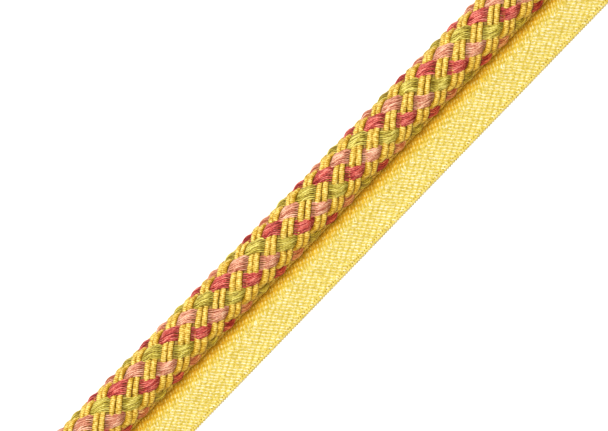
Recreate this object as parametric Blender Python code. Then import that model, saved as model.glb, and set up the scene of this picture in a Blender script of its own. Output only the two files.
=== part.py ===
"""A cut length of flanged cord trim: a round braided cord sewn along the edge of a flat woven tape.

Metres, +Z up. The trim runs along X and lies flat. The cord is on the +Y side and the tape's bare flange
reaches out to -Y. The origin is the middle of the trim's footprint, on the surface it lies on.
"""

import math

import bmesh
import bpy

# Driving dimensions
TRIM_LENGTH = 0.150
CORD_WIDTH = 0.010
CORD_HEIGHT = 0.0096
TAPE_WIDTH = 0.015
TAPE_SHOWN = 0.00875
TAPE_THICKNESS = 0.0010
SELVEDGE_ROUND = 0.0003
SEWN_GAP = 0.0003

# The braid: nine flat yarn strands wind one way and nine pairs of gimp the other, over one and under one
STRANDS_EACH_WAY = 9
ROW_PITCH = 0.004745
FIRST_ROW_X = -0.00077
FIRST_COLUMN_TURN = math.radians(13.4)
GATHER = 0.18
EDGE_DROP = 0.00036
DIVE_DROP = 0.00030
DEEPEST_DROP = 0.00070

# Each crossing is drawn with three points across a strand and three along it
POINTS_PER_STRAND = 3

# Places that follow from the sizes above
TRIM_WIDTH = CORD_WIDTH + TAPE_SHOWN
CORD_RADIUS = CORD_WIDTH / 2
AXIS_TO_UNDERSIDE = CORD_HEIGHT - CORD_RADIUS
CORD_PLACE = (0, TRIM_WIDTH / 2 - CORD_RADIUS, TAPE_THICKNESS + SEWN_GAP + AXIS_TO_UNDERSIDE)
TAPE_PLACE = (0, (TAPE_WIDTH - TRIM_WIDTH) / 2, TAPE_THICKNESS / 2)

GOLD = (0.80, 0.52, 0.10, 1.0)
PALE_GOLD = (0.88, 0.68, 0.16, 1.0)
SHARP_EDGE_ANGLE = math.radians(60)


def clear_scene():
    for old in list(bpy.data.objects):
        bpy.data.objects.remove(old)


def cloth_material(name, colour, roughness):
    material = bpy.data.materials.new(name)
    material.use_nodes = True
    shader = material.node_tree.nodes["Principled BSDF"]
    shader.inputs["Base Color"].default_value = colour
    shader.inputs["Roughness"].default_value = roughness
    shader.inputs["Metallic"].default_value = 0.0
    return material


def add_object(name, bm, place, material):
    mesh = bpy.data.meshes.new(name)
    bmesh.ops.recalc_face_normals(bm, faces=bm.faces)
    bm.to_mesh(mesh)
    bm.free()
    mesh.materials.append(material)
    piece = bpy.data.objects.new(name, mesh)
    piece.location = place
    bpy.context.scene.collection.objects.link(piece)
    return piece


def turn_of_column(column):
    """The angle from the cord's top, towards the tape, of a column of crossings.

    Sewing to the tape gathers the braid underneath, so the columns lie further apart on top.
    """
    even_turn = FIRST_COLUMN_TURN + 2 * math.pi * column / STRANDS_EACH_WAY
    return even_turn + GATHER * math.sin(even_turn)


def braid_radius(column, row):
    """How far the braid's skin stands from the cord's axis.

    Yarn strands run along whole numbers of column minus row, and gimp pairs along whole numbers of column
    plus row. Where the two numbers add up to an even one the yarn lies on top, elsewhere the gimp. The upper
    strand is highest in the middle of its crossing, drops to its edges and dives under at both ends.
    """
    from_yarn_line = column - row - round(column - row)
    from_gimp_line = column + row - round(column + row)
    yarn_on_top = (round(column - row) + round(column + row)) % 2 == 0
    across, along = (from_yarn_line, from_gimp_line) if yarn_on_top else (from_gimp_line, from_yarn_line)
    drop = EDGE_DROP * (POINTS_PER_STRAND * across) ** 2 + DIVE_DROP * (POINTS_PER_STRAND * along) ** 2
    return CORD_RADIUS - min(drop, DEEPEST_DROP)


def skin_point(x, column):
    """A point of the braid's skin, from the cord's axis, pressed flat where the cord is sewn to the tape."""
    row = (x - FIRST_ROW_X) / ROW_PITCH
    radius = braid_radius(column, row)
    turn = turn_of_column(column)
    y = -radius * math.sin(turn)
    z = radius * math.cos(turn)
    return (x, y, max(z, -AXIS_TO_UNDERSIDE))


def ring_places(rings_per_row):
    """Where the rings of points lie along X, by number. The outermost two are the cut ends."""
    step = ROW_PITCH / rings_per_row
    half_length = TRIM_LENGTH / 2
    first = round((-half_length - FIRST_ROW_X) / step)
    last = round((half_length - FIRST_ROW_X) / step)
    places = {number: FIRST_ROW_X + step * number for number in range(first, last + 1)}
    places[first] = -half_length
    places[last] = half_length
    return places


def build_braided_cord():
    """The braid as one closed body. Each ring of points is turned half a step from the one before it."""
    bm = bmesh.new()
    rings_per_row = 2 * POINTS_PER_STRAND
    points_round = STRANDS_EACH_WAY * POINTS_PER_STRAND
    rings = {}
    for number, x in ring_places(rings_per_row).items():
        columns = [(k + number % 2 / 2) / POINTS_PER_STRAND for k in range(points_round)]
        rings[number] = [bm.verts.new(skin_point(x, column)) for column in columns]
    first, last = min(rings), max(rings)
    for number in range(first, last):
        even, odd = (number, number + 1) if number % 2 == 0 else (number + 1, number)
        for k in range(points_round):
            beside = (k + 1) % points_round
            bm.faces.new((rings[even][k], rings[even][beside], rings[odd][k]))
            bm.faces.new((rings[even][beside], rings[odd][beside], rings[odd][k]))
    bm.faces.new(rings[first])
    bm.faces.new(rings[last])
    piece = add_object("braided_cord", bm, CORD_PLACE, cloth_material("cord_yarns", GOLD, 0.75))
    piece.data.shade_smooth()
    piece.data.set_sharp_from_angle(angle=SHARP_EDGE_ANGLE)
    return piece


def build_flange_tape():
    """The woven tape: a flat strip, its long edges a little rounded by the selvedges."""
    bm = bmesh.new()
    bmesh.ops.create_cube(bm, size=1.0)
    bmesh.ops.scale(bm, vec=(TRIM_LENGTH, TAPE_WIDTH, TAPE_THICKNESS), verts=bm.verts)
    long_edges = [edge for edge in bm.edges if abs(edge.verts[0].co.x - edge.verts[1].co.x) > TRIM_LENGTH / 2]
    bmesh.ops.bevel(bm, geom=long_edges, offset=SELVEDGE_ROUND, segments=3, profile=0.5, affect="EDGES")
    return add_object("flange_tape", bm, TAPE_PLACE, cloth_material("tape_weave", PALE_GOLD, 0.70))


def main():
    clear_scene()
    build_braided_cord()
    build_flange_tape()


main()
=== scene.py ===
# %% [markdown]
# # A cut length of flanged cord trim
#
# Flanged cord is sewn into the seams of cushions and curtains. A round braided cord carries the colour, and a
# flat woven tape, its flange, is caught between the two layers of cloth. This lesson dresses a plain solid
# model of such a trim: it braids the cord strand by strand, weaves the tape float by float, and lights both
# as a shop would light them, from above on white.
#
# The plain model is the frame. Its sizes are true, so every size below is either read from it or is the size
# of one yarn. The frame is loaded first, and the boxes of its parts are read.

# %% Load the plain model
import math

import bpy
import numpy as np
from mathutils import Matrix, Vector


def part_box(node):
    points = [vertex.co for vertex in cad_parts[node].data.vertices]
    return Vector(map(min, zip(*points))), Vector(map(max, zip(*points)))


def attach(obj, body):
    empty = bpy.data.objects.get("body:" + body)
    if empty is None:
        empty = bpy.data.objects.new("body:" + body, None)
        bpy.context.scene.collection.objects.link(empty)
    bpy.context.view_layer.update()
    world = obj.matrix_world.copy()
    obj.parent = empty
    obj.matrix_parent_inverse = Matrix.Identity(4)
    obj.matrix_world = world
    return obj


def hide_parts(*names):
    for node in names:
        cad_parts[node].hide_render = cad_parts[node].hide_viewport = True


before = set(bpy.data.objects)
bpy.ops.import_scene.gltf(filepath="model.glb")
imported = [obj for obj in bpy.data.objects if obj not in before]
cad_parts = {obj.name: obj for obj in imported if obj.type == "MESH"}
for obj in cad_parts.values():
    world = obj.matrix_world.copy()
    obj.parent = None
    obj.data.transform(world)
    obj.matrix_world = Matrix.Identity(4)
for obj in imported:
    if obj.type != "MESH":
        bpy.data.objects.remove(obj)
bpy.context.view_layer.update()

MM = 0.001
cord_low, cord_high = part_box("braided_cord")
tape_low, tape_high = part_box("flange_tape")
trim_length = tape_high.x - tape_low.x
tape_width = tape_high.y - tape_low.y
print(f"The trim is {trim_length / MM:.0f} mm long and the tape is {tape_width / MM:.1f} mm wide")

# %% [markdown]
# ## Where the cord lies
#
# The cord's axis is found from the tape: the bare flange is as wide as the photograph shows it, and the cord
# begins where the flange ends. The solid cord has a flat underside, which gives the height of the axis.

# %% Find the cord's axis
TAPE_SHOWN = 8.75 * MM
CORD_RADIUS = 5.0 * MM
AXIS_TO_UNDERSIDE = 4.6 * MM
cord_y = tape_low.y + TAPE_SHOWN + CORD_RADIUS
cord_axis_z = cord_low.z + AXIS_TO_UNDERSIDE
half_length = trim_length / 2
print(f"The cord's axis is at y {cord_y / MM:.2f} mm, z {cord_axis_z / MM:.2f} mm")

# %% [markdown]
# ## The camera
#
# The photograph was taken from straight above, and the trim crosses it from corner to corner. So the camera
# looks down, turned about its own axis. A long lens keeps the cord's sides nearly parallel, as they are in
# the photograph. Its height follows from the width of trim that the frame takes in.

# %% Set up the camera
TRIM_TURN_IN_FRAME = math.radians(46.0)
WIDTH_IN_FRAME = 116.5 * MM
FRAME_CENTRE_X = -4.1 * MM
FRAME_CENTRE_Y = 4.28 * MM
LENS = 300.0
SENSOR = 36.0


def make_camera():
    data = bpy.data.cameras.new("camera_above")
    data.lens = LENS
    data.sensor_width = SENSOR
    camera = bpy.data.objects.new("camera_above", data)
    height = cord_axis_z + WIDTH_IN_FRAME * LENS / SENSOR
    camera.location = (FRAME_CENTRE_X, FRAME_CENTRE_Y, height)
    camera.rotation_euler = (0, 0, -TRIM_TURN_IN_FRAME)
    bpy.context.scene.collection.objects.link(camera)
    bpy.context.scene.camera = camera
    return camera


camera = make_camera()
print(f"The camera is {camera.location.z / MM:.0f} mm above the floor")

# %% [markdown]
# ## Floor and light
#
# A white sheet and soft lamps make the even light of a product picture. The key lamp hangs nearly overhead,
# so the cord shades only the strip of tape right beside it, and the rest of the tape stays bright. A weaker
# lamp on the cord's side makes one flank of the cord lighter than the other. The sky is faint and warm, and
# the yellow tape throws more warm light up, which turns the deep places a golden brown. The view is left
# plain, with no film curve, so that white stays white.

# %% Lay the floor and hang the lamps
FLOOR_WHITE = (0.96, 0.96, 0.96, 1.0)
FLOOR_HALF_SIZE = 1.5
FLOOR_Z = -0.05 * MM
FLOOR_ROUGHNESS = 0.9
SKY_COLOUR = (1.0, 0.74, 0.36, 1.0)
SKY_STRENGTH = 0.165
KEY_POWER = 4.0
KEY_SIZE = 0.16
KEY_PLACE = (-0.02, 0.060, 0.60)
SIDE_POWER = 1.5
SIDE_SIZE = 0.30
SIDE_PLACE = (-0.05, 0.50, 0.36)


def make_floor():
    corners = [(-1, -1), (1, -1), (1, 1), (-1, 1)]
    points = [(x * FLOOR_HALF_SIZE, y * FLOOR_HALF_SIZE, FLOOR_Z) for x, y in corners]
    mesh = bpy.data.meshes.new("floor")
    mesh.from_pydata(points, [], [(0, 1, 2, 3)])
    material = bpy.data.materials.new("white_paper")
    material.use_nodes = True
    shader = material.node_tree.nodes["Principled BSDF"]
    shader.inputs["Base Color"].default_value = FLOOR_WHITE
    shader.inputs["Roughness"].default_value = FLOOR_ROUGHNESS
    mesh.materials.append(material)
    floor = bpy.data.objects.new("floor", mesh)
    bpy.context.scene.collection.objects.link(floor)


def make_lamp(name, power, size, place):
    """A square lamp that faces the trim."""
    lamp = bpy.data.lights.new(name, "AREA")
    lamp.energy = power
    lamp.size = size
    holder = bpy.data.objects.new(name, lamp)
    holder.location = place
    holder.rotation_euler = (-holder.location).to_track_quat("-Z", "Y").to_euler()
    bpy.context.scene.collection.objects.link(holder)


def make_sky():
    sky = bpy.data.worlds.new("soft_sky")
    sky.use_nodes = True
    background = sky.node_tree.nodes["Background"]
    background.inputs["Color"].default_value = SKY_COLOUR
    background.inputs["Strength"].default_value = SKY_STRENGTH
    bpy.context.scene.world = sky


make_floor()
make_lamp("key_lamp", KEY_POWER, KEY_SIZE, KEY_PLACE)
make_lamp("side_lamp", SIDE_POWER, SIDE_SIZE, SIDE_PLACE)
make_sky()
bpy.context.scene.view_settings.view_transform = "Standard"
print(f"Lamps of {KEY_POWER} W and {SIDE_POWER} W, and a sky of strength {SKY_STRENGTH}")

# %% [markdown]
# ## The braid's plan
#
# Nine flat strands of coloured yarn wind one way round the cord and nine pairs of gimp wind the other way.
# Unrolled, the braid is a checkerboard. It is easiest to count it in columns round the cord and rows along
# it. A yarn strand moves one column on for each row, and a gimp pair one column back. So a strand is all the
# places where column minus row has one whole value, and a gimp pair is all those where column plus row has.
#
# Sewing the cord to its tape gathers the braid underneath, so the columns are wider on top than below. A
# small sine term does that. Another wave, nearly a triangle, draws each strand straighter along the cord
# where it lies on top, because there nothing holds it down, and bends it more where it is held.

# %% Plan the braid
STRANDS = 9
ROW_PITCH = 4.710 * MM
FIRST_ROW_X = -0.81 * MM
FIRST_COLUMN_TURN = math.radians(14.2)
GATHER = 0.37


def row_at(x):
    return (x - FIRST_ROW_X) / ROW_PITCH


def turn_of_column(column):
    """The angle from the cord's top, towards the tape."""
    even_turn = FIRST_COLUMN_TURN + 2 * math.pi * column / STRANDS
    return even_turn + GATHER * np.sin(even_turn)


def slant_at(column, radius):
    """The angle between a strand and the cord's axis, at that column."""
    even_turn = FIRST_COLUMN_TURN + 2 * math.pi * column / STRANDS
    column_width = radius * 2 * math.pi / STRANDS * (1 + GATHER * np.cos(even_turn))
    return np.arctan(column_width / ROW_PITCH)


def straighter(phase, share):
    """How many columns a strand is drawn aside, to run straighter along the cord where it is on top."""
    return -share * (np.sin(math.pi * phase) - np.sin(3 * math.pi * phase) / 9)


def over_and_under(phase, squareness, bias=0.0):
    """A strand's rise: 1 where the phase is even and it lies on top, -1 where it is odd and it lies below.

    A bias above 0 keeps it on top for longer.
    """
    return np.tanh(squareness * (np.cos(math.pi * phase) + bias)) / np.tanh(squareness)


row_count = trim_length / ROW_PITCH
print(f"There are {row_count:.1f} rows and {2 * STRANDS * row_count:.0f} crossings")

# %% [markdown]
# ## From the plan to the cord
#
# A place on the cord is a distance along it, a turn from its top and a distance from its axis. The next cell
# turns these into points. It lets the cord sink a little onto the tape at the bottom, and it adds a slight
# unevenness, because no real cord is sewn down quite straight. The unevenness is a sum of a few long waves
# from a seeded source, so it comes out the same each time.

# %% Place points on the cord
SINK_STARTS = 3.4 * MM
SINK = 0.15 * MM
CORD_DRIFT = 0.14 * MM
CORD_DRIFT_WAVE = 60 * MM
DRIFT_SEED = 11
WAVES_IN_WANDER = 3
SHORTEST_WAVE = 0.6
LONGEST_WAVE = 1.6


def uneven(x, seed, size, wave):
    """A smooth seeded wander along the trim, about as large as size."""
    chance = np.random.default_rng(seed)
    total = np.zeros_like(x)
    for _ in range(WAVES_IN_WANDER):
        length = wave * chance.uniform(SHORTEST_WAVE, LONGEST_WAVE)
        total = total + np.sin(2 * math.pi * x / length + chance.uniform(0, 2 * math.pi))
    return total * size / 2


def on_cord(x, turn, radius):
    """Points of the scene, as an array with x, y and z last."""
    height = radius * np.cos(turn)
    sunk = np.clip(-height - SINK_STARTS, 0, None) / (CORD_RADIUS - SINK_STARTS)
    y = cord_y + uneven(x, DRIFT_SEED, CORD_DRIFT, CORD_DRIFT_WAVE) - radius * np.sin(turn)
    z = cord_axis_z + height + SINK * sunk ** 2
    return np.stack([x, y, z], axis=-1)


top_of_cord = on_cord(np.zeros(1), np.zeros(1), np.full(1, CORD_RADIUS))[0]
print(f"The top of the cord is at z {top_of_cord[2] / MM:.2f} mm")

# %% [markdown]
# ## One mesh from many threads
#
# Curves with a round bevel could draw the threads, but here each ring of points has to be moved one by one:
# to wrap a rib round the gimp, and to end all the threads in one flat cut. So a thread is a grid of points,
# rings along it and sides round it, and one function makes a closed mesh from a list of such grids.
#
# The mesh also keeps a thread map. Its first number is the distance along the thread in millimetres, and its
# second goes once round it from 0 to 1. The materials use it to draw the twist and the streaks. In a strand
# each thread's map starts at another distance, so that two threads side by side don't carry the same streaks.

# %% Make meshes from threads
THREAD_MAP = "thread_map"
THREAD_MAP_STEP = 7.3 * MM


def finish_piece(name, mesh, material):
    mesh.materials.append(material)
    mesh.shade_smooth()
    piece = bpy.data.objects.new(name, mesh)
    bpy.context.scene.collection.objects.link(piece)
    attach(piece, "root")
    return piece


def thread_faces(first, rings, sides):
    """The quads of one thread, and the two caps."""
    index = first + np.arange(rings * sides).reshape(rings, sides)
    beside = np.roll(index, -1, axis=1)
    quads = np.stack([index[:-1], index[1:], beside[1:], beside[:-1]], axis=-1).reshape(-1, 4)
    return quads, index[0], index[-1][::-1]


def thread_map_of(quads, first, sides, along):
    """The thread map at each corner of the quads. The last side's far corners go to 1, not back to 0."""
    place = quads - first
    side = (place % sides).astype(float)
    side[:, 2:][side[:, 2:] == 0] = sides
    return np.stack([along[place] / MM, side / sides], axis=-1)


def make_threads(name, threads, material):
    """One piece from several threads, each a pair: its grid of points and the distance along it at each."""
    points, faces, corners = [], [], []
    first = 0
    for grid, distance in threads:
        rings, sides = grid.shape[:2]
        along = distance.reshape(-1)
        quads, start_cap, end_cap = thread_faces(first, rings, sides)
        corners.append(thread_map_of(quads, first, sides, along).reshape(-1, 2))
        for cap in (start_cap, end_cap):
            corners.append(np.stack([along[cap - first] / MM, np.zeros(sides)], axis=-1))
        faces += [*quads.tolist(), start_cap.tolist(), end_cap.tolist()]
        points.append(grid.reshape(-1, 3))
        first += rings * sides
    mesh = bpy.data.meshes.new(name)
    mesh.from_pydata(np.concatenate(points).tolist(), [], faces)
    layer = mesh.uv_layers.new(name=THREAD_MAP)
    layer.data.foreach_set("uv", np.concatenate(corners).astype(np.float32).ravel())
    return finish_piece(name, mesh, material)


def report(pieces):
    """Print how many triangles each piece has."""
    for piece in pieces:
        triangles = sum(len(face.vertices) - 2 for face in piece.data.polygons)
        print(f"{piece.name}: {triangles} triangles")


print(f"From yarn to yarn the thread map starts {THREAD_MAP_STEP / MM:.1f} mm further along")

# %% [markdown]
# ## Shader helpers
#
# A few small helpers keep the materials short. One starts a material, one wires a Math node, one makes a
# colour from a mask with two or three stops, one mixes two colours, one takes a vector apart, and one adds a
# bump. Two more are for node groups: one starts a group with named sockets, and one places it in a material.

# %% Helpers for materials


def start_material(name):
    """A new material, its node tree and its shader."""
    material = bpy.data.materials.new(name)
    material.use_nodes = True
    return material, material.node_tree, material.node_tree.nodes["Principled BSDF"]


def calculate(tree, operation, *values, clamp=False):
    """The output of a Math node. Each value is a number or another node's output."""
    node = tree.nodes.new("ShaderNodeMath")
    node.operation = operation
    node.use_clamp = clamp
    for socket, value in zip(node.inputs, values):
        if isinstance(value, (int, float)):
            socket.default_value = value
        else:
            tree.links.new(value, socket)
    return node.outputs["Value"]


def colour_ramp(tree, mask, places, tones):
    """The colour output of a ramp over a mask, with one tone at each place."""
    node = tree.nodes.new("ShaderNodeValToRGB")
    ramp = node.color_ramp
    while len(ramp.elements) < len(places):
        ramp.elements.new(0.5)
    for element, place, tone in zip(ramp.elements, places, tones):
        element.position = place
        element.color = (*tone, 1.0)
    tree.links.new(mask, node.inputs["Fac"])
    return node.outputs["Color"]


def mix_colours(tree, blend, first, second):
    """A Mix node of two colour outputs. Its factor is still to be set."""
    mix = tree.nodes.new("ShaderNodeMix")
    mix.data_type = "RGBA"
    mix.blend_type = blend
    tree.links.new(first, mix.inputs["A"])
    tree.links.new(second, mix.inputs["B"])
    return mix


def take_apart(tree, vector):
    """The X, Y and Z outputs of a vector."""
    split = tree.nodes.new("ShaderNodeSeparateXYZ")
    tree.links.new(vector, split.inputs["Vector"])
    return split.outputs


def add_bump(tree, shader, height, strength, depth, inwards=False):
    """Bend the light as if the surface rose with the height, or sank with it where inwards is set."""
    bumps = tree.nodes.new("ShaderNodeBump")
    bumps.invert = inwards
    bumps.inputs["Strength"].default_value = strength
    bumps.inputs["Distance"].default_value = depth
    tree.links.new(height, bumps.inputs["Height"])
    tree.links.new(bumps.outputs["Normal"], shader.inputs["Normal"])


def start_group(name, inputs, outputs):
    """A shader node group with float sockets, its input node and its output node."""
    group = bpy.data.node_groups.new(name, "ShaderNodeTree")
    for label, value in inputs:
        socket = group.interface.new_socket(label, in_out="INPUT", socket_type="NodeSocketFloat")
        socket.default_value = value
    for label in outputs:
        group.interface.new_socket(label, in_out="OUTPUT", socket_type="NodeSocketFloat")
    return group, group.nodes.new("NodeGroupInput"), group.nodes.new("NodeGroupOutput")


def place_group(tree, group, values):
    """The group in a material, with its inputs set."""
    node = tree.nodes.new("ShaderNodeGroup")
    node.node_tree = group
    for label, value in values.items():
        node.inputs[label].default_value = value
    return node


print("The helpers for materials and node groups are ready")

# %% [markdown]
# ## Twist, hollow, streak and nap
#
# Four effects make thread look like thread. It is twisted or wrapped, which leaves fine slanting grooves; the
# grooves are painted darker and the ridges lighter, as painted shade and highlight. Its sides are painted
# darker too, as the shade in the hollow between it and its neighbours. It takes the dye and the light
# unevenly, in streaks that run along it, which are partly its own colour and partly painted sheen. And its
# fibres stand up in a fine nap. Each effect is a node group, built once and placed in each material with its
# own values. The first three read the thread map, so they follow every thread round the cord. The nap is a
# noise in space, which cloth without a thread map can use.

# %% Build the twist, hollow, streak and nap groups
NOISE_DETAIL = 2.0


def read_thread_map(group):
    """The thread map's two numbers: the distance along the thread, and the share of a turn round it."""
    thread_map = group.nodes.new("ShaderNodeUVMap")
    thread_map.uv_map = THREAD_MAP
    numbers = take_apart(group, thread_map.outputs["UV"])
    return numbers["X"], numbers["Y"]


def build_twist_group():
    """Ridge is 1 on top of each turn of the thread and 0 in the groove."""
    group, inputs, outputs = start_group("thread_twist", [("Turns per mm", 1.0), ("Slant", 1.0)], ["Ridge"])
    along, round_it = read_thread_map(group)
    along = calculate(group, "MULTIPLY", along, inputs.outputs["Turns per mm"])
    round_it = calculate(group, "MULTIPLY", round_it, inputs.outputs["Slant"])
    turns = calculate(group, "SUBTRACT", along, round_it)
    wave = calculate(group, "COSINE", calculate(group, "MULTIPLY", turns, 2 * math.pi))
    ridge = calculate(group, "MULTIPLY_ADD", wave, 0.5, 0.5)
    group.links.new(ridge, outputs.inputs["Ridge"])
    return group


def build_hollow_shade_group():
    """Hollow is 0 on the outward line of a thread and 1 at its two sides, where it meets its neighbours: the
    mask of painted shade there.
    """
    group, _, outputs = start_group("thread_hollow_shade", [], ["Hollow"])
    _, round_it = read_thread_map(group)
    angle = calculate(group, "MULTIPLY", round_it, 2 * math.pi)
    hollow = calculate(group, "SUBTRACT", 1.0, calculate(group, "COSINE", angle), clamp=True)
    group.links.new(hollow, outputs.inputs["Hollow"])
    return group


def build_streak_group():
    """Streak wanders between 0 and 1, slowly along the thread and quickly round it."""
    group, inputs, outputs = start_group("thread_streak", [("Per mm", 0.6), ("Round", 2.0)], ["Streak"])
    along, round_it = read_thread_map(group)
    along = calculate(group, "MULTIPLY", along, inputs.outputs["Per mm"])
    round_it = calculate(group, "MULTIPLY", round_it, inputs.outputs["Round"])
    join = group.nodes.new("ShaderNodeCombineXYZ")
    group.links.new(along, join.inputs["X"])
    group.links.new(round_it, join.inputs["Y"])
    noise = group.nodes.new("ShaderNodeTexNoise")
    noise.inputs["Scale"].default_value = 1.0
    noise.inputs["Detail"].default_value = NOISE_DETAIL
    group.links.new(join.outputs["Vector"], noise.inputs["Vector"])
    group.links.new(noise.outputs["Fac"], outputs.inputs["Streak"])
    return group


def build_nap_group():
    """Shade wanders between 0 and 1 from place to place, and Nap is a finer grain."""
    scales = [("Shade scale", 600.0), ("Nap scale", 6000.0)]
    group, inputs, outputs = start_group("nap", scales, ["Shade", "Nap"])
    place = group.nodes.new("ShaderNodeTexCoord")
    for scale, label in (("Shade scale", "Shade"), ("Nap scale", "Nap")):
        noise = group.nodes.new("ShaderNodeTexNoise")
        noise.inputs["Detail"].default_value = NOISE_DETAIL
        group.links.new(place.outputs["Object"], noise.inputs["Vector"])
        group.links.new(inputs.outputs[scale], noise.inputs["Scale"])
        group.links.new(noise.outputs["Fac"], outputs.inputs[label])
    return group


twist_group = build_twist_group()
hollow_shade_group = build_hollow_shade_group()
streak_group = build_streak_group()
nap_group = build_nap_group()
print(f"Groups: {twist_group.name}, {hollow_shade_group.name}, {streak_group.name}, {nap_group.name}")

# %% [markdown]
# ## The amber crease
#
# Where the cord meets the tape, light arrives only after it has bounced from gold thread to gold thread many
# times, and each bounce takes away more of its blue. The crease turns a deep amber. A renderer follows only a
# few of those bounces, so the materials help it. A mask is 1 along the crease and fades out over the cord's
# flank and over the tape beside it. Every thread's colour is multiplied by amber raised to the power of the
# mask, so it is left alone where the mask is 0 and takes the full amber where the mask is 1. Each material
# sets its own strength: cloth that lies deep takes more of the amber than the floats that stand up from it.
# Close to the floor the mask is 0, so the underside keeps its own colours.

# %% Build the crease group
CREASE_FROM_AXIS = 5.1 * MM
FADES_ON_CORD = 1.3 * MM
FADES_ON_TAPE = 8.0 * MM
FADE_POWER = 1.8
STARTS_ABOVE = 0.3 * MM
AMBER = (0.90, 0.57, 0.06, 1.0)


def build_crease_group():
    """Depth is 1 in the crease between the cord and the tape, and 0 away from it."""
    group, inputs, outputs = start_group("crease", [("Strength", 1.0)], ["Depth"])
    place = group.nodes.new("ShaderNodeTexCoord")
    where = take_apart(group, place.outputs["Object"])
    from_axis = calculate(group, "SUBTRACT", cord_y, where["Y"])
    slopes = []
    for faded_out in (FADES_ON_CORD, FADES_ON_TAPE):
        beyond = calculate(group, "SUBTRACT", from_axis, faded_out)
        slopes.append(calculate(group, "DIVIDE", beyond, CREASE_FROM_AXIS - faded_out, clamp=True))
    fade = calculate(group, "POWER", calculate(group, "MINIMUM", *slopes), FADE_POWER)
    depth = calculate(group, "MULTIPLY", fade, inputs.outputs["Strength"], clamp=True)
    above = calculate(group, "DIVIDE", where["Z"], STARTS_ABOVE)
    above = calculate(group, "SUBTRACT", above, 1.0, clamp=True)
    group.links.new(calculate(group, "MULTIPLY", depth, above), outputs.inputs["Depth"])
    return group


crease_group = build_crease_group()


def deepen(tree, colour, strength):
    """The colour, turned to amber in the crease."""
    crease = place_group(tree, crease_group, {"Strength": strength})
    bounces = tree.nodes.new("ShaderNodeGamma")
    bounces.inputs["Color"].default_value = AMBER
    tree.links.new(crease.outputs["Depth"], bounces.inputs["Gamma"])
    mix = mix_colours(tree, "MULTIPLY", colour, bounces.outputs["Color"])
    mix.inputs["Factor"].default_value = 1.0
    return mix.outputs["Result"]


print(f"The crease is {CREASE_FROM_AXIS / MM:.1f} mm from the cord's axis")

# %% [markdown]
# ## A material for thread
#
# All the threads share one recipe: a dark tone, a middle tone, and a light tone. A mask chooses between them.
# It adds the twist, the streaks and the nap, and takes away the hollow at the thread's sides. So the dark
# tone is painted shade in the twist's grooves and in the hollows, and the light tone a painted highlight on
# the twist's ridges; in the streaks and the nap the tones are partly the thread's own uneven dye and partly
# painted sheen. A bump bends the light where the geometry is too fine to follow. The recipe's shares decide
# the kind
# of thread: soft yarn is almost all streaks, and in wound gimp the grain counts most.

# %% Make thread materials
THREAD_STOPS = (0.34, 0.47, 0.60)
STREAKS_ROUND = 1.6
THREAD_SHADE_SCALE = 2200.0
THREAD_NAP_SCALE = 7000.0
THREAD_CREASE = 0.52
THREAD_BUMP_DEPTH = 0.06 * MM
THREAD_ROUGHNESS = 0.50
THREAD_SHINE = 0.22
RIB_PITCH = 0.40 * MM
ROSE = ((0.20, 0.012, 0.012), (0.53, 0.065, 0.050), (0.82, 0.27, 0.21))
PINK = ((0.34, 0.08, 0.04), (0.61, 0.245, 0.14), (0.87, 0.56, 0.39))
GREEN = ((0.20, 0.13, 0.008), (0.48, 0.38, 0.040), (0.78, 0.69, 0.18))
GOLD = ((0.33, 0.165, 0.007), (0.63, 0.395, 0.038), (0.87, 0.70, 0.21))


def thread_material(name, tones, shares, turns_per_mm, streaks_per_mm, hollow_shade_share, bump):
    """tones are the dark, middle and light colours, partly painted shade and highlight. shares are those of
    twist, streaks and nap.
    """
    material, tree, shader = start_material(name)
    twist = place_group(tree, twist_group, {"Turns per mm": turns_per_mm, "Slant": 1.0})
    streak = place_group(tree, streak_group, {"Per mm": streaks_per_mm, "Round": STREAKS_ROUND})
    nap = place_group(tree, nap_group, {"Shade scale": THREAD_SHADE_SCALE, "Nap scale": THREAD_NAP_SCALE})
    hollow = place_group(tree, hollow_shade_group, {})
    # Painted shade and highlight: the twist darkens the grooves and lightens the ridges, and the streaks and
    # nap vary the colour as uneven dye and painted sheen.
    masks = (twist.outputs["Ridge"], streak.outputs["Streak"], nap.outputs["Shade"])
    parts = [calculate(tree, "MULTIPLY", mask, share) for mask, share in zip(masks, shares)]
    total = calculate(tree, "ADD", calculate(tree, "ADD", parts[0], parts[1]), parts[2])
    # Painted shade: the thread's sides are darkened, for the hollow between it and its neighbours.
    shaded = calculate(tree, "MULTIPLY", hollow.outputs["Hollow"], hollow_shade_share)
    colour = colour_ramp(tree, calculate(tree, "SUBTRACT", total, shaded), THREAD_STOPS, tones)
    tree.links.new(deepen(tree, colour, THREAD_CREASE), shader.inputs["Base Color"])
    height = calculate(tree, "ADD", parts[0], nap.outputs["Nap"])
    add_bump(tree, shader, height, bump, THREAD_BUMP_DEPTH)
    shader.inputs["Roughness"].default_value = THREAD_ROUGHNESS
    shader.inputs["Specular IOR Level"].default_value = THREAD_SHINE
    return material


yarn_looks = {}
for colour_name, tones in (("rose", ROSE), ("pink", PINK), ("green", GREEN)):
    yarn_looks[colour_name] = thread_material(
        f"{colour_name}_yarn", tones, shares=(0.05, 0.88, 0.07),
        turns_per_mm=1.3, streaks_per_mm=0.36, hollow_shade_share=0.30, bump=0.4
    )
gimp_look = thread_material(
    "gold_gimp", GOLD, shares=(0.14, 0.36, 0.50),
    turns_per_mm=MM / RIB_PITCH, streaks_per_mm=2.4, hollow_shade_share=0.15, bump=0.6
)
print(f"Thread materials: {', '.join(look.name for look in [*yarn_looks.values(), gimp_look])}")

# %% [markdown]
# ## The cord's filling
#
# A braid this thick is worked over a filling of soft cotton. It shows at the cut ends, and as darkness
# between the strands. It is one body, pressed like the cord around it, with a pattern of small cells for its
# own cut yarns. The cotton is cream where it is freshly cut. Round its outside it is painted a dark golden
# brown, as painted shade for the deep places between the strands.

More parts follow.
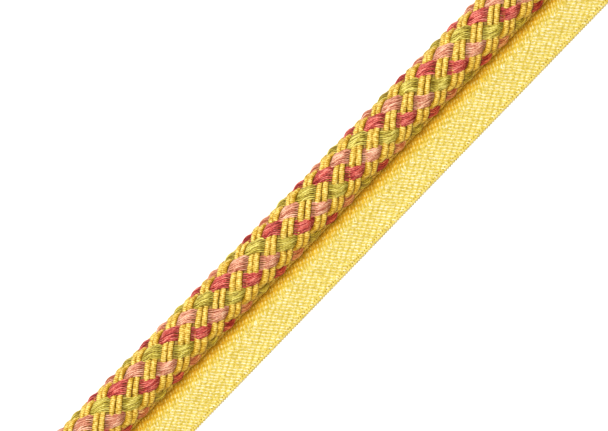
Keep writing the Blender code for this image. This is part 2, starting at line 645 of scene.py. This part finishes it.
# %% Make the filling
FILLING_RADIUS = 3.5 * MM
FILLING_SIDES = 40
FILLING_RINGS = 76
CUT_DEPTH = 0.02 * MM
CUT_COTTON = ((0.74, 0.62, 0.40), (0.34, 0.24, 0.12))
# Painted shade: the filling's outside is dark golden brown for the shade between the strands.
COTTON_PAINTED_SHADE = ((0.54, 0.34, 0.08), (0.22, 0.11, 0.015))
COTTON_CELLS = 1100.0
COTTON_STOPS = (0.1, 0.8)
COTTON_BUMP = 0.8
COTTON_BUMP_DEPTH = 0.2 * MM
COTTON_ROUGHNESS = 0.95


def filling_material():
    material, tree, shader = start_material("cotton_filling")
    place = tree.nodes.new("ShaderNodeTexCoord")
    cells = tree.nodes.new("ShaderNodeTexVoronoi")
    cells.inputs["Scale"].default_value = COTTON_CELLS
    tree.links.new(place.outputs["Object"], cells.inputs["Vector"])
    from_middle = calculate(tree, "ABSOLUTE", take_apart(tree, place.outputs["Object"])["X"])
    in_the_cut = calculate(tree, "GREATER_THAN", from_middle, half_length - CUT_DEPTH)
    # Painted shade on the filling's outside, and the cotton's own cream in the cut.
    painted_shade_colour = colour_ramp(tree, cells.outputs["Distance"], COTTON_STOPS, COTTON_PAINTED_SHADE)
    freshly_cut = colour_ramp(tree, cells.outputs["Distance"], COTTON_STOPS, CUT_COTTON)
    mix = mix_colours(tree, "MIX", painted_shade_colour, freshly_cut)
    tree.links.new(in_the_cut, mix.inputs["Factor"])
    tree.links.new(mix.outputs["Result"], shader.inputs["Base Color"])
    add_bump(tree, shader, cells.outputs["Distance"], COTTON_BUMP, COTTON_BUMP_DEPTH, inwards=True)
    shader.inputs["Roughness"].default_value = COTTON_ROUGHNESS
    return material


def make_filling():
    x = np.linspace(-half_length, half_length, FILLING_RINGS)[:, None]
    turn = -np.linspace(0, 2 * math.pi, FILLING_SIDES, endpoint=False)[None, :]
    x, turn = np.broadcast_arrays(x, turn)
    grid = on_cord(x, turn, np.full(x.shape, FILLING_RADIUS))
    return make_threads("cotton_filling", [(grid, x + half_length)], filling_material())


filling = make_filling()
print(f"The filling is {2 * FILLING_RADIUS / MM:.0f} mm thick")

# %% [markdown]
# ## The coloured yarns
#
# Each coloured strand is a flat bundle of fine yarns, side by side. Where it lies on top it swells in the
# middle and spreads, and where a gimp crosses it dives under. Its yarns sweep slantwise across its face: they
# come up from under one edge and tuck in under the other. On the cord's flanks the braid is pulled tighter,
# so there the strand dives sooner and its middle stands out more. It also stays on top for less long towards
# the tape, and is narrower there. The colours follow one another round the cord: rose, green, pink.
#
# The yarns' rings all stand square to the cord, so every yarn ends flush in the same cut. Widths without MM
# are in columns of the plan, and a yarn's spacing is in halves of the strand's width. A wander is a size
# and the length of its waves, and every yarn has its own seed, so that no two of them are alike.

# %% Braid the coloured yarns
YARNS_IN_STRAND = 10
YARN_SPACING = 0.25
YARN_RADIUS = 0.172 * MM
YARN_SIDES = 6
YARN_RINGS_IN_ROW = 10
BRAID_MIDDLE = 4.33 * MM
YARN_RISE = 0.60 * MM
YARN_SQUARENESS = 2.0
SQUARENESS_LOST = 1.4
LONGER_ON_TOP = 0.22
TIGHTER_BY_TAPE = 0.39
TIGHTENS_AT = -0.10
TIGHTENS_OVER = 0.25
RISE_GAINED = 0.12 * MM
STRAND_WIDTH = 0.77
STRAND_SPREAD = 0.24
NARROWER_BY_TAPE = 0.10
STRAND_CROWN = 0.20 * MM
CROWN_GAINED = 0.40 * MM
EDGE_TUCK = 1.3 * MM
YARN_STRAIGHTER = 0.050
YARN_SWEEP = 0.20
STRAND_COLOURS = ("rose", "green", "pink")
FIRST_ROSE_STRAND = 1
STRAND_WANDER = (0.022, 17 * MM)
YARN_WANDER = (0.012, 8 * MM)
YARN_LUMPS = (0.05 * MM, 5 * MM)
STRAND_SEED = 100
YARN_LUMP_SEED = 300
YARN_SEED = 1000
SEEDS_IN_STRAND = 20


def yarn_line(strand, place, seed):
    """The line that a yarn's middle follows: distances along the cord, columns and distances from the axis.

    place is between -1 and 1 on the strand's face, and further out where the yarn is tucked under.
    """
    x = np.linspace(-half_length, half_length, round(trim_length / ROW_PITCH * YARN_RINGS_IN_ROW))
    row = row_at(x)
    wander = uneven(x, STRAND_SEED + strand, *STRAND_WANDER) + uneven(x, seed, *YARN_WANDER)
    width = STRAND_WIDTH - NARROWER_BY_TAPE * (1 + np.sin(turn_of_column(row + strand))) / 2
    column = row + strand + place * width / 2 + wander
    swept = place + straighter(column + row - strand, YARN_SWEEP)
    face = np.clip(swept, -1, 1)
    spread = 1 + STRAND_SPREAD * np.sin(math.pi * (column + row - strand)) ** 2
    column = row + strand + face * spread * width / 2 + wander
    column = column + straighter(column + row - strand, YARN_STRAIGHTER)
    flank = np.sin(turn_of_column(column)) ** 2
    squareness = YARN_SQUARENESS - SQUARENESS_LOST * flank
    towards_tape = np.tanh((np.sin(turn_of_column(column)) - TIGHTENS_AT) / TIGHTENS_OVER)
    longer = (LONGER_ON_TOP - TIGHTER_BY_TAPE * towards_tape) * (1 - flank)
    rise = over_and_under(column + row - strand, squareness, longer)
    crown = (STRAND_CROWN + CROWN_GAINED * flank) * face ** 2 * (1 + rise) / 2
    tucked = EDGE_TUCK * np.abs(swept - face)
    lift = (YARN_RISE + RISE_GAINED * flank) * rise
    radius = BRAID_MIDDLE + lift - (crown + tucked) + uneven(x, YARN_LUMP_SEED + seed, *YARN_LUMPS)
    return x, column, radius


def yarn_thread(strand, place, seed):
    """One yarn, as rings round its middle line."""
    x, column, radius = yarn_line(strand, place, seed)
    slant = slant_at(column, radius)
    around = -np.linspace(0, 2 * math.pi, YARN_SIDES, endpoint=False)[None, :]
    turn_aside = YARN_RADIUS * np.sin(around) / (np.cos(slant) * radius)[:, None]
    turn = turn_of_column(column)[:, None] + turn_aside
    ring_radius = radius[:, None] + YARN_RADIUS * np.cos(around)
    distance = seed * THREAD_MAP_STEP + np.cumsum((x[1] - x[0]) / np.cos(slant))[:, None]
    x, distance = (np.broadcast_to(values, turn.shape) for values in (x[:, None], distance))
    return on_cord(x, turn, ring_radius), distance


def make_yarns(colour_name):
    offset = STRAND_COLOURS.index(colour_name)
    threads = []
    for strand in range(STRANDS):
        if (strand - FIRST_ROSE_STRAND) % len(STRAND_COLOURS) == offset:
            for k in range(YARNS_IN_STRAND):
                place = (k - (YARNS_IN_STRAND - 1) / 2) * YARN_SPACING
                threads.append(yarn_thread(strand, place, YARN_SEED + strand * SEEDS_IN_STRAND + k))
    piece = make_threads(f"{colour_name}_yarns", threads, yarn_looks[colour_name])
    return piece


report([make_yarns(colour_name) for colour_name in STRAND_COLOURS])

# %% [markdown]
# ## The gimp
#
# Gimp is a stiff core with a fine thread wound tightly round it, which leaves small ribs. Two of them run
# side by side in each pair. Here the ribs are real relief: each ring of points stands square to the gimp, and
# the rings swell and shrink along it, a little out of step round the ring, so that the ribs wind like the
# real thread. Near each end the rings lean over, until the last one lies in the cut.
#
# A pair stays on top longest near the top of the cord. Beside the tape the sewing draws it in, so there the
# coloured strands reach the crease. Short and long lumps keep the gimp from looking machined.

# %% Braid the gimp
GIMP_RADIUS = 0.605 * MM
GIMP_SPACING = 1.21 * MM
GIMP_FULLER = 0.12
GIMP_SIDES = 8
GIMP_RISE = 0.27 * MM
GIMP_SQUARENESS = 1.5
RIB_HEIGHT = 0.022 * MM
RINGS_IN_RIB = 3
LEAN_LENGTH = 2.5 * MM
GIMP_STRAIGHTER = 0.032
GIMP_PIECES = 3
GIMP_LONGER = 0.28
LONGEST_AT = 0.16
LONGER_OVER = 0.26
DRAWN_IN = 0.36 * MM
DRAWN_IN_FROM = 0.78
GIMP_WANDER = (0.05 * MM, 9 * MM)
SHORT_LUMPS = (0.03 * MM, 1.4 * MM)
LONG_LUMPS = (0.05 * MM, 11 * MM)
GIMP_HEIGHTS = (0.03 * MM, 7 * MM)
HEIGHT_SEED = 500
LONG_LUMP_SEED = 700
SHORT_LUMP_SEED = 900
GIMP_SEED = 2000


def lean_into_cut(x):
    """0 along the cord and 1 at its two ends, where a ring lies in the cut."""
    share = np.clip(1 - (half_length - np.abs(x)) / LEAN_LENGTH, 0, 1)
    return share ** 2 * (3 - 2 * share)


def gimp_rise(column, phase):
    """1 where the gimp lies on top and -1 where it lies below."""
    aside = (np.sin(turn_of_column(column)) - LONGEST_AT) / LONGER_OVER
    return -over_and_under(phase, GIMP_SQUARENESS, -GIMP_LONGER * np.exp(-aside ** 2))


def drawn_in_at(column):
    """How far the sewing draws the gimp in beside the tape."""
    beside_tape = np.clip((np.sin(turn_of_column(column)) - DRAWN_IN_FROM) / (1 - DRAWN_IN_FROM), 0, 1)
    return DRAWN_IN * beside_tape * (2 - beside_tape)


def gimp_thread(pair, side, seed):
    """One gimp of a pair. side is -1 or 1."""
    typical_slant = math.atan(CORD_RADIUS * 2 * math.pi / STRANDS / ROW_PITCH)
    ring_step = RIB_PITCH / RINGS_IN_RIB * math.cos(typical_slant)
    x = np.linspace(-half_length, half_length, round(trim_length / ring_step))
    slant = slant_at(pair - row_at(x), BRAID_MIDDLE)
    distance = seed * THREAD_MAP_STEP + np.cumsum((x[1] - x[0]) / np.cos(slant))
    lean = lean_into_cut(x)
    around = -np.linspace(0, 2 * math.pi, GIMP_SIDES, endpoint=False)[None, :]
    x, slant, distance, lean = (values[:, None] for values in (x, slant, distance, lean))
    fuller = 1 + GIMP_FULLER * np.sin(turn_of_column(pair - row_at(x)))
    offset = side * fuller * GIMP_SPACING / 2 + uneven(x, seed, *GIMP_WANDER)
    rib = RIB_HEIGHT * np.cos(2 * math.pi * distance / RIB_PITCH - around)
    lumps = uneven(x, SHORT_LUMP_SEED + seed, *SHORT_LUMPS) + uneven(x, LONG_LUMP_SEED + seed, *LONG_LUMPS)
    thickness = GIMP_RADIUS * fuller + rib + lumps
    across = offset + thickness * np.sin(around)
    middle_x = x - lean * across * np.sin(slant)
    column = pair - row_at(middle_x)
    own_column = column + offset * np.cos(slant) / (BRAID_MIDDLE * 2 * math.pi / STRANDS)
    own_row = row_at(middle_x) + offset * np.sin(slant) / ROW_PITCH
    phase = own_column - own_row - pair
    lift = GIMP_RISE * gimp_rise(own_column, phase)
    column = column - straighter(phase, GIMP_STRAIGHTER)
    radius = BRAID_MIDDLE + lift - drawn_in_at(column) + uneven(x, HEIGHT_SEED + seed, *GIMP_HEIGHTS)
    turn = turn_of_column(column) + across * np.cos(slant) / radius
    grid = on_cord(middle_x + across * np.sin(slant), turn, radius + thickness * np.cos(around))
    return grid, np.broadcast_to(distance, turn.shape)


def make_gimp(number):
    threads = []
    for pair in range(number, STRANDS, GIMP_PIECES):
        for side in (-1, 1):
            threads.append(gimp_thread(pair, side, GIMP_SEED + pair * 2 + side))
    piece = make_threads(f"gimp_{number + 1}", threads, gimp_look)
    return piece


report([make_gimp(number) for number in range(GIMP_PIECES)])
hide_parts("braided_cord")

# %% [markdown]
# ## The woven tape
#
# The tape is a herringbone twill: its bright floats lean one way in the outer half and the other way nearer
# the cord. The cloth itself is one thin closed sheet. The floats are small raised strokes of yarn on it, set
# out on the lattice of a four-step twill, where each column starts a quarter of a repeat further across.
# Its colours wander with a noise in space, fine for the ground and floats and broader for single threads.

# %% Weave the tape's ground
GROUND_TOP = 0.93 * MM
GROUND_BOTTOM = 0.07 * MM
GROUND_INSET = 0.22 * MM
GROUND_CELLS_ALONG = 100
GROUND_CELLS_ACROSS = 10
SHARP_EDGE = math.radians(40)
CLOTH_STOPS = (0.36, 0.50, 0.64)
FINE_SHADE = 2600.0
BROAD_SHADE = 1500.0
CLOTH_NAP_SCALE = 9000.0
CLOTH_BUMP_DEPTH = 0.05 * MM
CLOTH_SHEEN = 0.05
CLOTH_SHINE = 0.25
GROUND_CREASE = 1.60
FLOAT_CREASE = 0.84
TAPE_GROUND = ((0.62, 0.47, 0.060), (0.75, 0.60, 0.118), (0.84, 0.72, 0.21))
# Painted shade: the weft strokes between the floats are dark for the shade they lie in.
SHADED_WEFT = ((0.46, 0.33, 0.022), (0.56, 0.42, 0.038), (0.65, 0.51, 0.070))
TAPE_FLOATS = ((0.77, 0.67, 0.25), (0.90, 0.84, 0.47), (0.98, 0.96, 0.76))
# Painted shade: dark tones for the spindles that stand for the shade in the hollows beside the selvedge
# loops.
SHADED_HOLLOW = ((0.30, 0.17, 0.004), (0.42, 0.26, 0.008), (0.54, 0.37, 0.020))
SELVEDGE_TONES = ((0.67, 0.51, 0.08), (0.79, 0.64, 0.17), (0.88, 0.76, 0.32))


def cloth_material(name, tones, shade_scale, roughness, crease, bump=0.3):
    """Woven threads too fine to draw one by one: their colour wanders between three tones."""
    material, tree, shader = start_material(name)
    nap = place_group(tree, nap_group, {"Shade scale": shade_scale, "Nap scale": CLOTH_NAP_SCALE})
    colour = colour_ramp(tree, nap.outputs["Shade"], CLOTH_STOPS, tones)
    tree.links.new(deepen(tree, colour, crease), shader.inputs["Base Color"])
    add_bump(tree, shader, nap.outputs["Nap"], bump, CLOTH_BUMP_DEPTH)
    shader.inputs["Roughness"].default_value = roughness
    shader.inputs["Sheen Weight"].default_value = CLOTH_SHEEN
    shader.inputs["Specular IOR Level"].default_value = CLOTH_SHINE
    return material


def make_ground():
    """A closed sheet: a grid above, the same grid below, and a rim round both."""
    xs = np.linspace(-half_length, half_length, GROUND_CELLS_ALONG + 1)
    ys = np.linspace(tape_low.y + GROUND_INSET, tape_high.y - GROUND_INSET, GROUND_CELLS_ACROSS + 1)
    x, y = np.meshgrid(xs, ys, indexing="ij")
    above = np.stack([x, y, np.full(x.shape, GROUND_TOP)], axis=-1).reshape(-1, 3)
    below = np.stack([x, y, np.full(x.shape, GROUND_BOTTOM)], axis=-1).reshape(-1, 3)
    index = np.arange(x.size).reshape(x.shape)
    cells = np.stack([index[:-1, :-1], index[1:, :-1], index[1:, 1:], index[:-1, 1:]], axis=-1).reshape(-1, 4)
    rim = [*index[:, 0], *index[-1, 1:], *index[-2::-1, -1], *index[0, -2:0:-1]]
    walls = [(a + x.size, b + x.size, b, a) for a, b in zip(rim, rim[1:] + rim[:1])]
    faces = cells.tolist() + (cells[:, ::-1] + x.size).tolist() + [[int(v) for v in wall] for wall in walls]
    mesh = bpy.data.meshes.new("tape_cloth")
    mesh.from_pydata(np.concatenate([above, below]).tolist(), [], faces)
    look = cloth_material(
        "tape_ground", TAPE_GROUND, FINE_SHADE, roughness=0.8, crease=GROUND_CREASE, bump=0.6
    )
    ground = finish_piece("tape_cloth", mesh, look)
    ground.data.set_sharp_from_angle(angle=SHARP_EDGE)
    return ground


ground = make_ground()
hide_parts("flange_tape")
report([ground])

# %% [markdown]
# ### One spindle, many copies
#
# Floats, stitches and the loops at the edges are all short strokes of yarn, thick in the middle and pointed
# at both ends. Each can be a spindle, drawn once: a fine one with six sides, a blunt one for darker strokes
# that are painted shade in the weave, and a plain one with four sides for the underside. Copies are placed
# with array arithmetic, which makes thousands of them in an instant, where one object each would be slow.

# %% Make spindles
FINE_SPINDLE = (6, (-0.34, 0.0, 0.34))
BLUNT_SPINDLE = (6, (-0.32, 0.32))
PLAIN_SPINDLE = (4, (0.0,))


def spindle(sides, ring_places):
    """The points and faces of a spindle 1 long and 1 thick, along X."""
    points = [(-0.5, 0, 0)]
    for place in ring_places:
        radius = 0.5 * math.sqrt(1 - (2 * place) ** 2)
        for k in range(sides):
            angle = 2 * math.pi * k / sides
            points.append((place, radius * math.cos(angle), radius * math.sin(angle)))
    points.append((0.5, 0, 0))
    faces = []
    last = len(points) - 1
    rings = len(ring_places)
    for k in range(sides):
        beside = (k + 1) % sides
        faces.append((0, 1 + beside, 1 + k, 1 + k))
        for ring in range(rings - 1):
            low, high = 1 + ring * sides, 1 + (ring + 1) * sides
            faces.append((low + k, low + beside, high + beside, high + k))
        high = 1 + (rings - 1) * sides
        faces.append((high + k, high + beside, last, last))
    return np.array(points), np.array(faces)


def make_spindles(name, places, leans, sizes, material, kind=FINE_SPINDLE):
    """A spindle at each place, turned by its lean about Z and scaled to its size."""
    points, faces = spindle(*kind)
    scaled = points[None, :, :] * sizes[:, None, :]
    cos, sin = np.cos(leans)[:, None], np.sin(leans)[:, None]
    x = scaled[..., 0] * cos - scaled[..., 1] * sin
    y = scaled[..., 0] * sin + scaled[..., 1] * cos
    moved = np.stack([x, y, scaled[..., 2]], axis=-1) + places[:, None, :]
    all_faces = faces[None, :, :] + (np.arange(len(places)) * len(points))[:, None, None]
    rows = [row[:3] if row[2] == row[3] else row for row in all_faces.reshape(-1, 4).tolist()]
    mesh = bpy.data.meshes.new(name)
    mesh.from_pydata(moved.reshape(-1, 3).tolist(), [], rows)
    return finish_piece(name, mesh, material)


for label, kind in (("fine", FINE_SPINDLE), ("blunt", BLUNT_SPINDLE), ("plain", PLAIN_SPINDLE)):
    print(f"A {label} spindle has {len(spindle(*kind)[1])} faces")

# %% [markdown]
# ### Floats
#
# A float lies half sunk in the cloth. Between each two in a column the weft shows as a shorter stroke, and
# its darker colour is painted shade. Real floats are never quite alike, so seeded chance shifts, turns and
# sizes each one a little. In the half nearer the cord they are shorter and lie more loosely. Under the cord
# the upper floats stop where they can't be seen any more. The underside has the same floats, leaning the
# other way, and no weft between.

# %% Lay the floats
COLUMN_PITCH = 0.572 * MM
REPEAT_ACROSS = 1.064 * MM
COLUMN_LEAN = 0.089
STEPS_IN_REPEAT = 4
REVERSAL_FROM_EDGE = 6.0 * MM
SELVEDGE_WIDTH = 0.45 * MM
UNDER_CORD = 2.5 * MM
FLOAT_LENGTH = 0.88 * MM
FLOAT_WIDTH = 0.31 * MM
FLOAT_HEIGHT = 0.10 * MM
THICKEST_FLOAT = 2.2 * FLOAT_HEIGHT
FLOAT_SUNK = 0.01 * MM
FLOAT_BELOW_Z = 1.1 * FLOAT_HEIGHT
FLOAT_LEAN = math.radians(48)
FLOAT_SHIFT = 0.05 * MM
FLOAT_SWING = 0.12
FLOAT_SIZE_VARIES = 0.13
INNER_SHORTER = 0.85
INNER_LOOSER = 1.5
WEFT_LENGTH = 0.50 * MM
WEFT_WIDTH = 0.21 * MM
LATTICE_SEED = 5
SIZE_SEED = 6


def float_lattice():
    """The floats' places and leans. across is the distance from the tape's outer edge."""
    places, leans = [], []
    chance = np.random.default_rng(LATTICE_SEED)
    columns = int(half_length / COLUMN_PITCH)
    for column in range(-columns, columns + 1):
        x = column * COLUMN_PITCH
        for repeat in range(-1, int(tape_width / REPEAT_ACROSS) + 2):
            from_reversal = (repeat + (-column % STEPS_IN_REPEAT) / STEPS_IN_REPEAT) * REPEAT_ACROSS
            for outwards in (True, False):
                across = REVERSAL_FROM_EDGE + (-from_reversal if outwards else from_reversal)
                inside = from_reversal > 0 if outwards else from_reversal >= 0
                if inside and SELVEDGE_WIDTH < across < tape_width - SELVEDGE_WIDTH:
                    lean = -FLOAT_LEAN if outwards else FLOAT_LEAN
                    looseness = 1 if outwards else INNER_LOOSER
                    shift = chance.normal(0, FLOAT_SHIFT * looseness, 2)
                    leaning = COLUMN_LEAN * (REVERSAL_FROM_EDGE - across)
                    places.append((x + leaning + shift[0], tape_low.y + across + shift[1]))
                    leans.append(lean + chance.normal(0, FLOAT_SWING * looseness))
    return np.array(places), np.array(leans)


def make_floats():
    """The floats above, the weft between them, and the floats below."""
    flat_places, leans = float_lattice()
    chance = np.random.default_rng(SIZE_SEED)
    keep = np.abs(flat_places[:, 0]) < half_length - FLOAT_LENGTH / 2
    flat_places, leans = flat_places[keep], leans[keep]
    count = len(leans)
    typical_size = np.array([FLOAT_LENGTH, FLOAT_WIDTH, 2 * FLOAT_HEIGHT])
    sizes = typical_size * chance.normal(1, FLOAT_SIZE_VARIES, (count, 3))
    sizes[leans > 0, 0] *= INNER_SHORTER
    sizes[:, 2] = np.minimum(sizes[:, 2], THICKEST_FLOAT)
    look = cloth_material("tape_float", TAPE_FLOATS, FINE_SHADE, roughness=0.6, crease=FLOAT_CREASE)
    seen = flat_places[:, 1] < cord_y - UNDER_CORD
    top = np.column_stack([flat_places, np.full(count, GROUND_TOP - FLOAT_SUNK)])[seen]
    upper = make_spindles("tape_floats", top, leans[seen], sizes[seen], look)
    between = top + np.array([COLUMN_LEAN, -1, 0]) * REPEAT_ACROSS / 2
    on_tape = between[:, 1] > tape_low.y + 2 * SELVEDGE_WIDTH
    weft_places, weft_leans = between[on_tape], leans[seen][on_tape]
    weft_sizes = np.tile((WEFT_LENGTH, WEFT_WIDTH, FLOAT_HEIGHT), (len(weft_leans), 1))
    # Painted shade: the weft's dark tones stand for the shade between the floats.
    weft_look = cloth_material("shaded_weft", SHADED_WEFT, BROAD_SHADE, roughness=0.8, crease=GROUND_CREASE)
    weft = make_spindles("shaded_weft", weft_places, weft_leans, weft_sizes, weft_look, BLUNT_SPINDLE)
    bottom = np.column_stack([flat_places, np.full(count, FLOAT_BELOW_Z)])
    lower = make_spindles("tape_floats_below", bottom, -leans, sizes, look, PLAIN_SPINDLE)
    return [upper, weft, lower]


floats = make_floats()
report(floats)

# %% [markdown]
# ### The sewing
#
# A row of machine stitches holds the cord to the tape. It can't be seen in the photograph, so it is a plain
# straight row on the underside, below the cord, with as many stitches as such a seam usually has.

# %% Sew the cord down
STITCH_LENGTH = 2.7 * MM
STITCH_GAP = 0.5 * MM
STITCH_THICKNESS = 0.34 * MM
STITCH_HEIGHT = 0.20 * MM
SEWING_FROM_AXIS = 0.9 * MM


def straight_row(count, pitch, y, z):
    """Places in one row along the trim, evenly spaced about its middle."""
    xs = (np.arange(count) - (count - 1) / 2) * pitch
    return np.column_stack([xs, np.full(count, y), np.full(count, z)])


def make_sewing():
    pitch = STITCH_LENGTH + STITCH_GAP
    count = int(trim_length / pitch)
    places = straight_row(count, pitch, cord_y - SEWING_FROM_AXIS, STITCH_HEIGHT / 2)
    sizes = np.tile((STITCH_LENGTH, STITCH_THICKNESS, STITCH_HEIGHT), (count, 1))
    look = cloth_material("sewing_thread", TAPE_FLOATS, BROAD_SHADE, roughness=0.5, crease=0.0)
    return make_spindles("sewing", places, np.zeros(count), sizes, look)


sewing = make_sewing()
report([sewing])

# %% [markdown]
# ### The selvedges
#
# At each edge of the tape the weft turns back in a row of small loops, which keep it from fraying. A loop is
# the same spindle, stood across the edge and made as thick as the tape. The outer edge shows in the
# photograph with small shaded hollows beside its loops, so a blunt dark spindle lies between each two, as
# painted shade for those hollows.

# %% Turn the selvedges
LOOP_SIZE = (0.74 * MM, 0.56 * MM, 0.98 * MM)
LOOP_PROUD = 0.11 * MM
LOOP_LEAN = 0.25
HOLLOW_SIZE = (0.36 * MM, 0.24 * MM, 0.14 * MM)
HOLLOW_FROM_EDGE = 0.64 * MM
HOLLOW_SHIFT = 0.04 * MM
HOLLOW_SEED = 8


def make_selvedge(name, edge_y, inwards):
    """A row of loops along one edge of the tape. inwards is 1 or -1, the way from the edge to the middle."""
    count = int(2 * half_length / COLUMN_PITCH) - 1
    loop_y = edge_y + inwards * (LOOP_SIZE[0] / 2 - LOOP_PROUD)
    places = straight_row(count, COLUMN_PITCH, loop_y, (GROUND_TOP + GROUND_BOTTOM) / 2)
    leans = np.full(count, math.pi / 2 - inwards * LOOP_LEAN)
    sizes = np.tile(LOOP_SIZE, (count, 1))
    look = cloth_material(f"{name}_yarn", SELVEDGE_TONES, BROAD_SHADE, roughness=0.6, crease=FLOAT_CREASE)
    return make_spindles(name, places, leans, sizes, look)


def make_hollow_shade():
    """Dark spindles as painted shade in the small hollows beside the outer selvedge, one between each two
    loops.
    """
    count = int(2 * half_length / COLUMN_PITCH) - 2
    places = straight_row(count, COLUMN_PITCH, tape_low.y + HOLLOW_FROM_EDGE, GROUND_TOP)
    places[:, :2] += np.random.default_rng(HOLLOW_SEED).normal(0, HOLLOW_SHIFT, (count, 2))
    leans = np.full(count, math.pi / 2 - LOOP_LEAN)
    sizes = np.tile(HOLLOW_SIZE, (count, 1))
    look = cloth_material("shaded_hollow", SHADED_HOLLOW, BROAD_SHADE, roughness=0.8, crease=FLOAT_CREASE)
    return make_spindles("selvedge_hollow_shade", places, leans, sizes, look, BLUNT_SPINDLE)


selvedges = [make_selvedge("outer_selvedge", tape_low.y, 1), make_selvedge("inner_selvedge", tape_high.y, -1)]
hollows = make_hollow_shade()
report([*selvedges, hollows])
